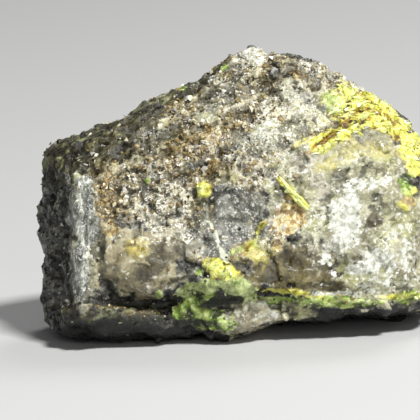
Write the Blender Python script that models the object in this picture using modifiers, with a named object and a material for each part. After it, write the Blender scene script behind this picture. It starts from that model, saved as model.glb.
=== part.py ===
"""A hand specimen of pottsite: one lump of quartz-rich skarn with yellow and green crusts on its fractures.

The stone is shaped in its picture frame, where +X runs to the right, +Y away from the viewer and +Z up the
picture, and is then turned into the attitude in which it rests on a level surface. Lengths are millimetres
until the finished mesh is scaled to metres.
"""

import math

import bmesh
import bpy
from mathutils import Euler, Matrix, Vector, noise

# Driving dimensions of the picture frame, in millimetres
PRISM_DEPTH = 30.0
PRISM_FRONT = -3.0
VIEW_DISTANCE = 450.0
VIEW_MIDDLE = (-2.7, 12.5)
BLOCK_SIDE = 60.0
ROUGH_VOXEL = 0.34
FINISH_VOXEL = 0.32
TRIANGLES = 8800
# A blunt block within its radii: how far it fills them, and its chamfer, as shares of a radius
BLOCK_FILL = 0.95
BLOCK_CHAMFER = 0.32

# How far the resting stone is turned from the picture frame
REST_PITCH = math.radians(-10.0)
REST_ROLL = math.radians(3.3)
# How much of the lowest points is dressed flat to stand on
FOOT_SHAVE = 0.5

METRES_PER_MM = 0.001

# The outline that the viewer sees, clockwise from the peak, as (x, z)
OUTLINE = (
    (0.6, 28.0),
    (2.2, 26.7),
    (3.9, 26.8),
    (7.2, 25.9),
    (8.8, 25.3),
    (10.2, 23.9),
    (12.7, 22.4),
    (14.8, 21.0),
    (16.0, 19.5),
    (17.0, 17.8),
    (18.1, 15.4),
    (18.7, 11.6),
    (18.4, 7.6),
    (17.7, 4.6),
    (16.6, 3.4),
    (13.4, 2.8),
    (9.8, 2.6),
    (7.6, 2.2),
    (4.9, 2.3),
    (2.1, 1.5),
    (1.1, 1.2),
    (0.1, 0.5),
    (-1.2, 0.7),
    (-3.0, 1.3),
    (-4.6, 1.2),
    (-7.3, 0.6),
    (-11.2, -0.1),
    (-12.9, 0.1),
    (-14.4, 0.8),
    (-17.5, 1.2),
    (-17.8, 4.2),
    (-17.9, 7.0),
    (-18.5, 10.0),
    (-18.6, 13.4),
    (-18.3, 16.2),
    (-18.2, 17.8),
    (-16.6, 18.8),
    (-14.4, 19.1),
    (-12.2, 20.3),
    (-10.5, 20.9),
    (-8.7, 22.6),
    (-6.2, 23.6),
    (-3.4, 24.7),
    (-1.0, 26.7),
)

# Broken faces of the block: a point on the face, the way it faces from the viewer's side (0 faces the viewer,
# 90 faces right, 180 faces away) and its tilt above the horizon
FACETS = {
    "front_right": ((9.0, 0.0, 9.0), 3, 5),
    "front_left": ((-6.0, 0.8, 9.0), -14, 6),
    "left_side": ((-14.6, 3.0, 9.0), -64, 3),
    "top_left": ((-6.0, 1.6, 16.2), -22, 42),
    "top_right": ((8.0, 0.9, 18.2), 12, 38),
    "shoulder": ((13.5, 2.0, 18.0), 50, 43),
    "right_front": ((16.9, 1.6, 10.0), 46, 2),
    "right_end": ((18.3, 8.0, 10.0), 82, 4),
    "back": ((0.0, 22.0, 10.0), 178, 6),
    "back_top": ((0.0, 11.4, 28.4), 174, 48),
    "back_top_left": ((-12.0, 12.5, 23.0), -160, 52),
    "back_left": ((-13.0, 18.5, 10.0), -142, 10),
    "back_right": ((13.0, 18.5, 10.0), 138, 8),
    "under_front_left": ((-9.0, 1.9, 4.4), -8, -38),
    "under_front_right": ((9.0, 0.6, 4.5), 6, -42),
    "under_middle": ((-2.0, 6.0, 0.7), 176, -75),
    "under_back": ((0.0, 20.0, 5.2), 180, -48),
}

# Masses that stand proud of the block: centre, radii, turn in the picture plane in degrees, and whether the
# mass is a blunt-edged block or a rounded knob
MASSES = {
    "glassy_block": ((-8.7, 3.1, 7.8), (4.3, 2.7, 3.3), -4, "block"),
    "vein_rib": ((-14.8, 3.6, 10.2), (0.9, 1.6, 7.0), 3, "knob"),
    "green_lump": ((-3.4, 2.4, 5.6), (3.9, 1.9, 1.5), -7, "knob"),
    "lower_bulge": ((-0.2, 3.5, 2.5), (3.5, 2.7, 2.05), 8, "knob"),
    "left_ledge": ((-10.8, 5.0, 2.5), (6.2, 3.2, 1.15), -3, "block"),
    "left_keel": ((-10.6, 6.5, 1.3), (4.6, 4.0, 1.27), 0, "knob"),
    "quartz_swell": ((11.6, 1.5, 10.6), (6.4, 2.6, 5.6), 12, "knob"),
    "smoky_dome": ((4.5, 1.2, 6.8), (3.1, 1.9, 1.9), -4, "knob"),
    "right_rim": ((8.6, 1.6, 4.2), (6.8, 2.0, 0.8), -7, "knob"),
    "back_swell": ((3.0, 19.6, 12.5), (7.0, 3.4, 5.0), 20, "knob"),
    "back_left_foot": ((-9.5, 16.0, 4.1), (3.8, 3.4, 2.3), 0, "knob"),
    "back_right_foot": ((11.0, 15.5, 5.3), (4.2, 3.4, 2.4), 0, "knob"),
}

# Hollows: centre, radii and turn in the picture plane in degrees
HOLLOWS = {
    "under_block": ((-10.4, 1.6, 3.9), (4.2, 2.3, 0.75), -3),
    "green_hollow": ((-6.4, 1.2, 3.7), (1.9, 2.6, 1.1), 28),
    "above_bulge": ((-1.4, 0.9, 4.0), (3.7, 1.8, 0.42), 5),
    "right_slot": ((3.7, 0.6, 4.1), (2.9, 1.8, 0.7), -20),
    "dark_scoop": ((-0.5, -0.9, 11.5), (3.0, 2.1, 4.0), 10),
    "crust_cavity": ((10.2, 5.0, 21.9), (0.4, 1.6, 0.8), -28),
    "crust_groove": ((8.5, 2.1, 19.4), (2.0, 1.0, 0.4), 26),
    "back_scoop": ((-6.5, 23.0, 11.5), (4.8, 2.4, 4.0), -15),
}

# Chipped faces, coarse to fine: the width of one chip, how steeply chips lean, and a shift of the pattern
CHIPS = (
    (5.6, 0.11, 3.1),
    (2.3, 0.15, 11.7),
)
# Scatters the chips' leanings from cell to cell
CELL_MIX = 7.3
# Rolling unevenness: wavelength and height
SWELLS = (
    (7.0, 0.16),
    (1.7, 0.10),
)


def clear_scene():
    for old in list(bpy.data.objects):
        bpy.data.objects.remove(old, do_unlink=True)


def new_object(name, mesh, collection):
    made = bpy.data.objects.new(name, mesh)
    collection.objects.link(made)
    return made


def evaluated_mesh(source):
    """The object's mesh with its modifiers applied."""
    graph = bpy.context.evaluated_depsgraph_get()
    return bpy.data.meshes.new_from_object(source.evaluated_get(graph))


def apply_modifiers(target):
    finished = evaluated_mesh(target)
    target.modifiers.clear()
    target.data = finished


def facing(azimuth, tilt):
    """The outward normal of a face, from where it faces and its tilt above the horizon, in degrees."""
    turn, rise = math.radians(azimuth), math.radians(tilt)
    return Vector((math.sin(turn) * math.cos(rise), -math.cos(turn) * math.cos(rise), math.sin(rise)))


def widen_with_depth(mesh):
    """Spreads the prism as the eye's rays spread, so that the outline is the same at every depth."""
    middle_x, middle_z = VIEW_MIDDLE
    for vert in mesh.vertices:
        spread = 1 + vert.co.y / VIEW_DISTANCE
        vert.co.x = middle_x + (vert.co.x - middle_x) * spread
        vert.co.z = middle_z + (vert.co.z - middle_z) * spread


def outline_prism(collection):
    """The seen outline, extruded away from the viewer."""
    curve = bpy.data.curves.new("outline", "CURVE")
    curve.dimensions = "2D"
    curve.fill_mode = "BOTH"
    curve.extrude = PRISM_DEPTH / 2
    spline = curve.splines.new("POLY")
    spline.points.add(len(OUTLINE) - 1)
    for point, (x, z) in zip(spline.points, OUTLINE):
        point.co = (x, z, 0.0, 1.0)
    spline.use_cyclic_u = True
    guide = bpy.data.objects.new("outline", curve)
    bpy.context.scene.collection.objects.link(guide)
    bpy.context.view_layer.update()
    mesh = evaluated_mesh(guide)
    upright = Matrix.Rotation(math.radians(90), 4, "X")
    mesh.transform(Matrix.Translation((0, PRISM_DEPTH / 2 + PRISM_FRONT, 0)) @ upright)
    widen_with_depth(mesh)
    shape = bmesh.new()
    shape.from_mesh(mesh)
    bmesh.ops.remove_doubles(shape, verts=shape.verts, dist=0.001)
    bmesh.ops.recalc_face_normals(shape, faces=shape.faces)
    shape.to_mesh(mesh)
    shape.free()
    bpy.data.objects.remove(guide, do_unlink=True)
    return new_object("stone", mesh, collection)


def faceted_block(collection):
    """A large cube cut back along every broken face."""
    shape = bmesh.new()
    bmesh.ops.create_cube(shape, size=BLOCK_SIDE)
    bmesh.ops.translate(shape, verts=shape.verts, vec=(0, 10, 12))
    for point, azimuth, tilt in FACETS.values():
        cut = bmesh.ops.bisect_plane(
            shape,
            geom=shape.verts[:] + shape.edges[:] + shape.faces[:],
            plane_co=point,
            plane_no=facing(azimuth, tilt),
            clear_outer=True,
        )
        rim = [piece for piece in cut["geom_cut"] if isinstance(piece, bmesh.types.BMEdge)]
        bmesh.ops.edgeloop_fill(shape, edges=rim)
    bmesh.ops.recalc_face_normals(shape, faces=shape.faces)
    mesh = bpy.data.meshes.new("faceted_block")
    shape.to_mesh(mesh)
    shape.free()
    return new_object("faceted_block", mesh, collection)


def placed(centre, radii, turn):
    """The matrix that sets a unit shape in its place in the picture frame."""
    spin = Euler((0, math.radians(-turn), 0)).to_matrix().to_4x4()
    return Matrix.Translation(centre) @ spin @ Matrix.Diagonal((*radii, 1))


def mass_mesh(name, centre, radii, turn, kind):
    """One proud mass, in its place: a cube with blunt edges, or a coarse round knob."""
    shape = bmesh.new()
    if kind == "block":
        bmesh.ops.create_cube(shape, size=2 * BLOCK_FILL)
        bmesh.ops.bevel(shape, geom=shape.edges[:], offset=BLOCK_CHAMFER, segments=2, affect="EDGES")
    else:
        bmesh.ops.create_icosphere(shape, subdivisions=2, radius=1.0)
    bmesh.ops.transform(shape, matrix=placed(centre, radii, turn), verts=shape.verts)
    bmesh.ops.recalc_face_normals(shape, faces=shape.faces)
    mesh = bpy.data.meshes.new(name)
    shape.to_mesh(mesh)
    shape.free()
    return mesh


def fuse_masses(stone):
    """Adds the proud masses to the stone's mesh and makes one skin of them all."""
    shape = bmesh.new()
    shape.from_mesh(stone.data)
    for name, (centre, radii, turn, kind) in MASSES.items():
        shape.from_mesh(mass_mesh(name, centre, radii, turn, kind))
    shape.to_mesh(stone.data)
    shape.free()
    remesh(stone, ROUGH_VOXEL)


def remesh(stone, voxel):
    skin = stone.modifiers.new("skin", "REMESH")
    skin.mode = "VOXEL"
    skin.voxel_size = voxel
    apply_modifiers(stone)


def cut_hollows(stone, cutters):
    for name, (centre, radii, turn) in HOLLOWS.items():
        shape = bmesh.new()
        bmesh.ops.create_icosphere(shape, subdivisions=3, radius=1.0, matrix=placed(centre, radii, turn))
        mesh = bpy.data.meshes.new(name)
        shape.to_mesh(mesh)
        shape.free()
        cutter = new_object(name, mesh, cutters)
        cutter.hide_render = True
        cutter.display_type = "WIRE"
        cut = stone.modifiers.new(name, "BOOLEAN")
        cut.operation = "DIFFERENCE"
        cut.object = cutter
    apply_modifiers(stone)


def chipped(point, width, lean, shift):
    """The height of one set of chips: each cell of a Voronoi pattern is a flat that leans its own way."""
    place = point / width + Vector((shift, shift, shift))
    centre = noise.voronoi(place)[1][0]
    leaning = noise.cell_vector(centre * CELL_MIX) - Vector((0.5, 0.5, 0.5))
    return leaning.dot(place - centre) * width * lean * 2


def roughen(stone):
    """Breaks the smooth skin into chips and swells, along the skin's own normals."""
    mesh = stone.data
    moves = []
    for vert in mesh.vertices:
        point = vert.co
        rise = sum(chipped(point, *chip) for chip in CHIPS)
        rise += sum(noise.noise(point / length) * height for length, height in SWELLS)
        moves.append(point + vert.normal * rise)
    for vert, place in zip(mesh.vertices, moves):
        vert.co = place


def thin_out(stone):
    """Fewer faces, where the surface is flattest first."""
    stone.data.calc_loop_triangles()
    thin = stone.modifiers.new("thin", "DECIMATE")
    thin.ratio = TRIANGLES / len(stone.data.loop_triangles)
    thin.use_collapse_triangulate = True
    apply_modifiers(stone)


def ground_point(mesh):
    """The middle of the turned stone's plan, at the level that its feet are dressed to."""
    xs, ys, zs = zip(*(vert.co for vert in mesh.vertices))
    return Vector(((min(xs) + max(xs)) / 2, (min(ys) + max(ys)) / 2, min(zs) + FOOT_SHAVE))


def set_down(stone, cutters):
    """Turns the stone into its resting attitude and dresses the points that it stands on flat."""
    turn = Matrix.Rotation(REST_PITCH, 4, "X") @ Matrix.Rotation(REST_ROLL, 4, "Y")
    stone.data.transform(turn)
    stone.data.transform(Matrix.Translation(-ground_point(stone.data)))
    shape = bmesh.new()
    bmesh.ops.create_cube(shape, size=BLOCK_SIDE)
    bmesh.ops.translate(shape, verts=shape.verts, vec=(0, 0, -BLOCK_SIDE / 2))
    mesh = bpy.data.meshes.new("level")
    shape.to_mesh(mesh)
    shape.free()
    level = new_object("level", mesh, cutters)
    level.hide_render = True
    level.display_type = "WIRE"
    cut = stone.modifiers.new("feet", "BOOLEAN")
    cut.operation = "DIFFERENCE"
    cut.object = level
    apply_modifiers(stone)


def stone_material():
    """Grey quartz rock: the stone's average colour and shine."""
    material = bpy.data.materials.new("stone")
    material.use_nodes = True
    surface = material.node_tree.nodes["Principled BSDF"]
    surface.inputs["Base Color"].default_value = (0.30, 0.28, 0.22, 1.0)
    surface.inputs["Roughness"].default_value = 0.55
    surface.inputs["Metallic"].default_value = 0.0
    return material


def main():
    clear_scene()
    specimen = bpy.data.collections.new("pottsite_specimen")
    cutters = bpy.data.collections.new("cutters")
    for collection in (specimen, cutters):
        bpy.context.scene.collection.children.link(collection)

    stone = outline_prism(specimen)
    block = faceted_block(cutters)
    block.hide_render = True
    block.display_type = "WIRE"
    meet = stone.modifiers.new("broken_faces", "BOOLEAN")
    meet.operation = "INTERSECT"
    meet.object = block
    bpy.context.view_layer.update()
    apply_modifiers(stone)

    fuse_masses(stone)
    cut_hollows(stone, cutters)
    remesh(stone, ROUGH_VOXEL)
    roughen(stone)
    remesh(stone, FINISH_VOXEL)
    thin_out(stone)
    set_down(stone, cutters)

    stone.data.transform(Matrix.Scale(METRES_PER_MM, 4))
    stone.data.materials.append(stone_material())


if __name__ == "__main__":
    main()
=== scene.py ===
"""Looks of the pottsite specimen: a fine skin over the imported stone, with its minerals, grains and crystals.

The zones are laid out as soft patches in the picture: seen from the front, in 420ths of the picture's width.
Sizes on the stone are millimetres, and the finished pieces are in metres in the row frame.
"""

import math

import bmesh
import bpy
import numpy as np
from mathutils import Matrix, Vector, noise


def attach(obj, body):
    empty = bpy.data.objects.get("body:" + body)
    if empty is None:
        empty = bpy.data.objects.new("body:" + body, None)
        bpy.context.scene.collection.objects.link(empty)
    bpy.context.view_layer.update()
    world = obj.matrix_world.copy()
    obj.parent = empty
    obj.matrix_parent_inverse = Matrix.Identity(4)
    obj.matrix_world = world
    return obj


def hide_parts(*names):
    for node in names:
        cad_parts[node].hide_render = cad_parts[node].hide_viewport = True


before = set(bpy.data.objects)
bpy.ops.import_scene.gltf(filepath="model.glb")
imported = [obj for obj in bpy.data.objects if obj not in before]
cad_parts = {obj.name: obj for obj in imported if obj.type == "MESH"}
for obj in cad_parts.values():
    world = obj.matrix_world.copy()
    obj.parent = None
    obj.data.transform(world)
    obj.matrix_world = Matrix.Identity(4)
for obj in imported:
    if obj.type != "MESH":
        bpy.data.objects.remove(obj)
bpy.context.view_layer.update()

# How the resting stone is turned and shifted from its picture frame, as in the solid
REST_PITCH = math.radians(-10.0)
REST_ROLL = math.radians(3.3)
REST_SHIFT = Vector((0.47413, 12.45483, -0.40343))
METRES_PER_MM = 0.001
TURN = (Matrix.Rotation(REST_PITCH, 4, "X") @ Matrix.Rotation(REST_ROLL, 4, "Y")).to_3x3()

# The picture: its width, the scale at the stone's front, the point under the stone's left end, the eye
PICTURE = 420
MM_PER_PIXEL = 0.0926
PICTURE_ORIGIN = (239, 345)
VIEW_MIDDLE = (
    (PICTURE / 2 - PICTURE_ORIGIN[0]) * MM_PER_PIXEL,
    (PICTURE_ORIGIN[1] - PICTURE / 2) * MM_PER_PIXEL,
)
VIEW_DISTANCE = 450.0
SENSOR = 36.0
NEAREST_SEEN = 0.01

SKIN_VOXEL = 0.25
SMOOTHING = 2
SHARP_EDGE = math.radians(32)

# The corner rib in the picture frame: its top end is worn flat, and the whole of it a little
RIB_TOP = (-14.8, 3.6, 16.2)
RIB_TOP_REACH = 3.2
RIB = (-14.8, 3.0, 9.5)
RIB_REACH = (2.6, 3.4, 8.5)
RIB_WEAR = 0.16
RIB_PASSES = 80

# The places of the largest grains, in pixels
BIG_GRAINS = (
    (270, 90), (289, 78), (306, 98), (315, 122), (268, 132), (209, 111), (179, 118), (251, 57), (286, 106),
    (262, 113), (236, 121), (222, 96), (325, 108), (296, 132), (246, 140), (196, 148), (150, 166), (318, 84),
)

# How ragged the zones' edges are: the strength, wavelength in mm and seed of each noise
RAGGED = ((0.42, 1.7, 3.7), (0.34, 0.7, 9.2), (0.16, 0.35, 5.1))

# How far the crusts stand over the rock beside them, in mm
CRUST_RISE = {"yellow": 0.20, "green": 0.06}

# The small solids: none stand lower than this (metres), their scatter off the spot in mm, how much the small
# ones outnumber the large, and how far a laid crystal may roll about its own length
FOOT_HEIGHT = 0.0006
JITTER = 0.05
SIZE_BIAS = 2.2
ROLL_WANDER = 0.25

# The one long blade of pottsite: where it starts, a point that it runs towards, its length and half width in
# pixels. Then the middle and reach in pixels of the ground by the peak where glassy grains are thick
BLADE_START, BLADE_END = np.array((281.0, 182.0)), np.array((306.0, 207.0))
BLADE_LENGTH = 33
BLADE_HALF_WIDTH = 1.4
GLASSY_MIDDLE = (288, 98)
GLASSY_REACH = 34

# The directions in which crystals and flakes lie: how steeply each rises to the right in the picture
LEFT_BRANCH_RISE, RIGHT_BRANCH_RISE, FLAKE_RISE = 34, -40, 30

FLOOR_HALF_WIDTH = 1.5
LAMP_AIM = Vector((0.0, 0.0, 0.012))

# Each lamp: its azimuth and elevation as seen by the viewer, its distance and width in metres, its watts
LAMPS = {
    "key": (36, 52, 0.60, 0.09, 5.4),
    "front": (0, 24, 0.80, 0.30, 0.7),
    "low": (40, 6, 0.80, 0.20, 1.0),
    "rim": (150, 50, 0.70, 0.25, 1.6),
}

# The patches of each kind of mineral on the front and top, with the dark patches, which are painted shade, and
# some frost and vein
# strips, which are painted highlights: centre x and y, half width, half height, turn in degrees (clockwise),
# strength
FRONT_ZONES = {
    "granular": [
        (165, 128, 88, 46, -30, 1.0), (240, 95, 62, 40, -25, 1.0), (150, 185, 62, 40, 0, 1.0),
        (262, 140, 46, 48, 0, 1.0), (185, 215, 46, 50, 0, 1.0), (240, 165, 50, 28, 0, 0.9),
        (245, 240, 30, 30, 0, 0.8), (105, 170, 28, 26, 0, 0.9), (310, 90, 30, 22, 20, 1.0),
        (318, 114, 36, 28, 0, 1.0), (345, 100, 30, 22, 30, 0.9), (345, 78, 52, 12, 37, 1.0),
    ],
    "olive_dark": [
        (132, 118, 100, 20, -31, 1.0), (64, 160, 28, 26, -20, 0.9), (96, 152, 34, 14, -22, 0.9),
        (168, 132, 66, 10, -31, 0.6), (215, 92, 40, 8, -31, 0.6), (165, 306, 18, 8, 0, 0.9),
        (112, 314, 62, 11, 3, 1.0),
    ],
    "rust": [
        (106, 203, 14, 26, 8, 0.9), (192, 148, 44, 15, -22, 0.75), (235, 128, 30, 10, -20, 0.6),
        (287, 219, 16, 24, 14, 1.0), (276, 244, 9, 8, 0, 0.7), (298, 74, 14, 5, 15, 0.9),
        (204, 172, 22, 9, -30, 0.8), (134, 248, 9, 9, 0, 0.45), (180, 110, 30, 12, -30, 0.5),
        (268, 160, 20, 8, -20, 0.5), (110, 306, 26, 2, 4, 0.45), (140, 314, 22, 4, 0, 0.45),
        (310, 152, 14, 4, -20, 0.6), (245, 250, 16, 10, 0, 0.7), (110, 225, 12, 10, 30, 0.6),
        (352, 128, 26, 5, -30, 0.6), (408, 200, 8, 8, 0, 0.6),
    ],
    "sugar": [
        (196, 152, 34, 8, -24, 0.8), (160, 214, 26, 22, -20, 1.0), (262, 140, 40, 26, -10, 1.0),
        (346, 78, 50, 8, 37, 1.0), (168, 205, 36, 44, -20, 0.85), (250, 58, 16, 10, 0, 1.0),
        (322, 74, 26, 9, 24, 0.95), (205, 245, 26, 26, 0, 0.3), (230, 90, 26, 18, -20, 0.6),
        (268, 130, 34, 34, 0, 0.85), (150, 172, 40, 14, -10, 0.6), (290, 95, 24, 14, 0, 0.7),
        (180, 118, 40, 12, -28, 0.45), (262, 172, 30, 16, 0, 0.75), (232, 205, 24, 30, 0, 0.45),
        (270, 235, 20, 20, 0, 0.6), (320, 235, 30, 30, 0, 0.45), (130, 185, 20, 14, 0, 0.6),
        (176, 190, 26, 14, -20, 0.9), (290, 150, 22, 12, -20, 0.8), (300, 112, 18, 14, 0, 0.85),
        (326, 120, 16, 16, 0, 0.7),
    ],
    "pale_quartz": [
        (352, 205, 70, 68, 0, 1.0), (396, 245, 50, 62, 0, 1.0), (310, 180, 40, 30, 0, 1.0),
        (95, 262, 6, 26, 0, 1.0), (300, 160, 36, 16, -10, 0.9), (254, 318, 48, 20, -4, 1.0),
        (84, 240, 13, 62, -2, 1.0), (206, 113, 12, 11, 0, 0.9), (340, 265, 50, 28, 0, 1.0),
        (208, 232, 10, 26, -25, 0.8), (165, 95, 10, 6, -20, 0.5), (378, 152, 40, 13, 18, 1.0),
        (335, 150, 26, 10, -20, 0.8), (374, 140, 36, 14, 30, 1.0), (284, 216, 19, 29, 10, 1.0),
        (266, 136, 30, 14, -16, 0.8), (252, 57, 13, 8, 30, 1.0), (346, 74, 48, 7, 36, 0.9),
        (308, 112, 28, 20, -30, 1.0), (296, 84, 14, 9, 30, 0.7), (290, 96, 18, 12, -30, 0.7),
        (286, 138, 24, 10, -20, 0.8), (282, 312, 34, 14, -6, 1.0), (370, 296, 62, 14, -4, 1.0),
    ],
    "slate": [
        (234, 210, 26, 24, 14, 0.95), (222, 236, 20, 26, 20, 0.9), (250, 236, 19, 26, 20, 1.0),
        (216, 196, 12, 8, -20, 0.8), (256, 206, 10, 14, 0, 0.7), (192, 244, 20, 16, -20, 0.6),
    ],
    "corner": [(84, 218, 15, 34, -6, 1.0), (80, 272, 10, 32, 6, 1.0), (88, 188, 7, 14, -8, 1.0)],
    # Crease: the crust's dark brown to orange grooves, partly their own brown and partly painted shade in them
    "crease": [
        (336, 133, 26, 3.2, -33, 1.0), (347, 108, 3.4, 8, 12, 1.0), (361, 122, 10, 3.0, -33, 1.0),
        (386, 118, 15, 2.4, 40, 0.8), (352, 96, 2.6, 7, 20, 0.8), (367, 101, 13, 2.2, 42, 0.9),
        (357, 112, 12, 2.6, -42, 1.0), (373, 113, 10, 2.2, 25, 0.9), (396, 138, 9, 2.0, 60, 0.8),
        (344, 124, 18, 2.4, -33, 0.9), (366, 132, 12, 2.2, -20, 0.7),
    ],
    # Dark: painted shade, near-black where the recesses, the slot under the block and the underside band lie
    # in shadow
    "dark": [
        (222, 302, 20, 5, -8, 1.0), (164, 305, 9, 3, -22, 1.0), (126, 303, 44, 3.4, 2, 1.0),
        (150, 322, 24, 9, 0, 0.7), (200, 323, 24, 4, 6, 0.6), (112, 334, 76, 8, 0, 0.9),
        (108, 319, 62, 8, 3, 0.50), (108, 328, 66, 7, 1, 1.0), (350, 320, 80, 5, -4, 0.7),
        (288, 322, 12, 3, -8, 0.8), (350, 309, 40, 1.8, -3, 0.7),
    ],
    # Frost: white frosted quartz, and on the block at lower left and on the corner rib, painted highlights
    "frost_and_highlight": [
        (252, 55, 12, 6, 30, 0.9), (262, 128, 18, 5, -30, 0.6), (282, 210, 12, 16, 10, 0.42),
        (132, 288, 24, 6, 0, 0.42), (346, 222, 17, 26, 8, 1.0), (400, 250, 18, 34, 0, 0.6),
        (366, 184, 30, 9, -12, 0.75), (372, 262, 24, 12, -20, 0.8), (80, 215, 6, 30, 0, 0.42),
        (86, 270, 5, 26, 0, 0.40), (165, 287, 22, 4, -4, 0.5), (330, 250, 14, 18, 0, 0.6),
        (318, 214, 10, 20, 0, 0.5), (385, 283, 30, 9, 0, 0.55), (392, 268, 26, 14, 0, 0.6),
        (350, 272, 22, 8, -10, 0.5), (300, 168, 20, 8, 0, 0.5), (356, 160, 24, 8, -10, 0.6),
        (206, 245, 8, 18, -28, 0.2), (348, 74, 46, 5, 37, 0.75), (396, 116, 16, 2.5, 50, 0.5),
        (330, 296, 46, 4, 5, 0.75), (370, 292, 34, 4, 0, 0.6), (110, 240, 14, 8, 0, 0.4),
        (268, 320, 16, 6, -30, 0.5),
    ],
    "beige": [(141, 262, 48, 38, 0, 1.0), (262, 322, 30, 14, -4, 0.6)],
    "smoky": [
        (294, 268, 42, 25, 0, 1.0), (268, 88, 13, 10, 0, 0.9), (374, 220, 11, 9, 0, 0.75),
        (326, 286, 22, 7, 0, 0.7), (150, 125, 8, 5, 0, 0.6), (222, 140, 8, 6, 0, 0.6),
        (288, 135, 7, 6, 0, 0.6),
    ],
    "yellow": [
        (367, 109, 34, 11, 36, 1.0), (343, 130, 38, 9, -31, 1.0), (388, 122, 34, 11, 42, 1.0),
        (360, 116, 26, 14, -10, 1.0), (409, 146, 12, 16, 0, 1.0), (413, 170, 8, 9, 0, 0.9),
        (204, 191, 8, 7, 30, 1.0), (221, 271, 19, 10, 20, 1.0), (252, 246, 12, 4, -30, 0.75),
        (285, 291, 30, 2.4, 5, 0.68), (338, 299, 40, 2.6, 5, 0.66), (334, 104, 13, 11, 20, 0.75),
        (223, 68, 4, 3, -30, 0.6), (402, 206, 9, 3, 30, 0.55), (398, 296, 24, 4, -6, 0.8),
        (293, 195, 16, 2.2, 45, 1.0), (332, 165, 26, 8, -14, 0.34), (262, 226, 9, 3, -60, 0.7),
        (410, 190, 8, 6, 0, 0.6), (372, 150, 30, 10, 10, 0.30), (262, 250, 16, 20, -40, 0.26),
        (300, 143, 10, 4, -30, 0.5), (300, 282, 50, 10, 6, 0.16), (256, 252, 13, 12, 0, 0.42),
        (137, 250, 14, 12, 0, 0.33), (290, 120, 30, 24, 0, 0.24),
    ],
    "green": [
        (334, 104, 13, 11, 20, 1.0), (147, 182, 5, 5, 0, 0.9), (194, 291, 19, 10, -6, 1.0),
        (236, 286, 21, 10, 34, 1.0), (218, 284, 16, 5, 20, 0.8), (206, 316, 30, 14, 8, 1.0),
        (160, 293, 6, 5, 0, 0.8), (200, 272, 6, 4, 0, 0.8), (362, 110, 24, 3, 40, 0.55),
        (223, 68, 5, 4, -30, 0.8), (183, 89, 6, 3, -30, 0.7), (256, 128, 6, 3, -30, 0.5),
        (330, 301, 60, 5, 0, 0.8), (300, 300, 44, 4, 4, 0.8), (402, 297, 16, 7, -8, 0.8),
        (407, 183, 8, 12, 0, 0.9), (345, 305, 36, 4, 0, 0.75), (214, 300, 18, 7, 10, 0.85),
        (240, 250, 14, 6, -20, 0.55), (372, 110, 16, 4, 36, 0.6), (203, 268, 8, 5, 0, 0.45),
        (222, 322, 16, 6, 20, 0.6),
    ],
    "mint": [
        (236, 286, 22, 10, 34, 1.0), (200, 286, 17, 7, 0, 0.9), (182, 293, 12, 7, 0, 0.8),
        (334, 104, 13, 11, 20, 0.8), (330, 301, 60, 4, 0, 0.5),
    ],
    # Vein: thin pale lines of quartz; the three thin lines on the block at lower left are painted highlights
    "vein": [
        (262, 316, 16, 1.4, -28, 0.8), (276, 306, 22, 1.4, 8, 0.9), (236, 312, 14, 1.2, 60, 0.7),
        (207, 208, 14, 2.2, 88, 1.0), (214, 232, 15, 2.2, 68, 1.0), (223, 254, 14, 2.6, 64, 1.0),
        (116, 268, 20, 0.8, 24, 0.8), (150, 258, 22, 0.8, 10, 0.8), (165, 276, 24, 0.9, -4, 0.9),
        (300, 232, 16, 0.9, -30, 0.8), (385, 232, 20, 1.0, -40, 0.8), (392, 270, 18, 1.0, 60, 0.8),
        (360, 250, 24, 0.9, 35, 0.8), (330, 180, 22, 0.8, -12, 0.7),
    ],
}

# The same for the sides that the picture doesn't show, seen from behind in the picture's own coordinates
BACK_ZONES = {
    "granular": [(240, 110, 90, 40, -10, 1.0), (120, 190, 60, 50, 0, 0.8), (230, 200, 40, 60, 20, 0.7)],
    "olive_dark": [(110, 150, 70, 40, -25, 1.0), (90, 260, 50, 60, 0, 0.7), (380, 280, 40, 40, 0, 0.8)],
    "rust": [(210, 150, 40, 24, -20, 0.8), (330, 240, 30, 40, 0, 0.6), (120, 210, 20, 20, 0, 0.7)],
    "sugar": [(230, 120, 50, 30, 0, 0.7), (150, 240, 50, 40, 0, 0.7), (300, 160, 40, 40, 0, 0.6)],
    "pale_quartz": [(310, 200, 66, 76, 0, 1.0), (170, 285, 60, 34, 0, 0.9), (90, 200, 16, 60, 10, 0.8)],
    "slate": [(260, 250, 30, 22, 20, 0.8)],
    "corner": [(90, 200, 12, 50, 10, 0.8)],
    "crease": [(380, 120, 20, 2.0, 42, 0.9), (300, 123, 20, 1.8, -30, 0.9)],
    # Dark: painted shade in the slot at the foot
    "dark": [(250, 306, 40, 2.4, 4, 0.8)],
    "frost_and_highlight": [(330, 190, 26, 30, 0, 0.8), (190, 292, 34, 10, 0, 0.6), (290, 240, 14, 30, 30, 0.6)],
    "beige": [(150, 280, 40, 24, 0, 0.9)],
    "smoky": [(262, 250, 46, 30, 0, 0.9)],
    "yellow": [
        (380, 118, 34, 12, 42, 1.0), (300, 122, 26, 6, -30, 0.8), (158, 218, 22, 5, 35, 0.75),
        (250, 300, 40, 5, 4, 0.8), (338, 168, 14, 4, -40, 0.6),
    ],
    "green": [
        (330, 150, 22, 10, 20, 0.8), (140, 230, 26, 12, 0, 0.8), (250, 312, 60, 9, 0, 0.8),
        (360, 190, 10, 24, 0, 0.7),
    ],
    "mint": [(330, 150, 18, 8, 20, 0.8), (250, 312, 50, 5, 0, 0.6)],
    "vein": [(300, 210, 40, 1.4, -50, 1.0), (200, 240, 30, 1.2, 30, 0.9)],
}
KINDS = list(FRONT_ZONES)


def to_picture(points):
    """Row-frame points in metres to picture-frame millimetres."""
    return (points / METRES_PER_MM + np.array(REST_SHIFT)) @ np.array(TURN)


def to_row(points):
    """Picture-frame millimetres to row-frame metres."""
    return (points @ np.array(TURN).T - np.array(REST_SHIFT)) * METRES_PER_MM


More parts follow.
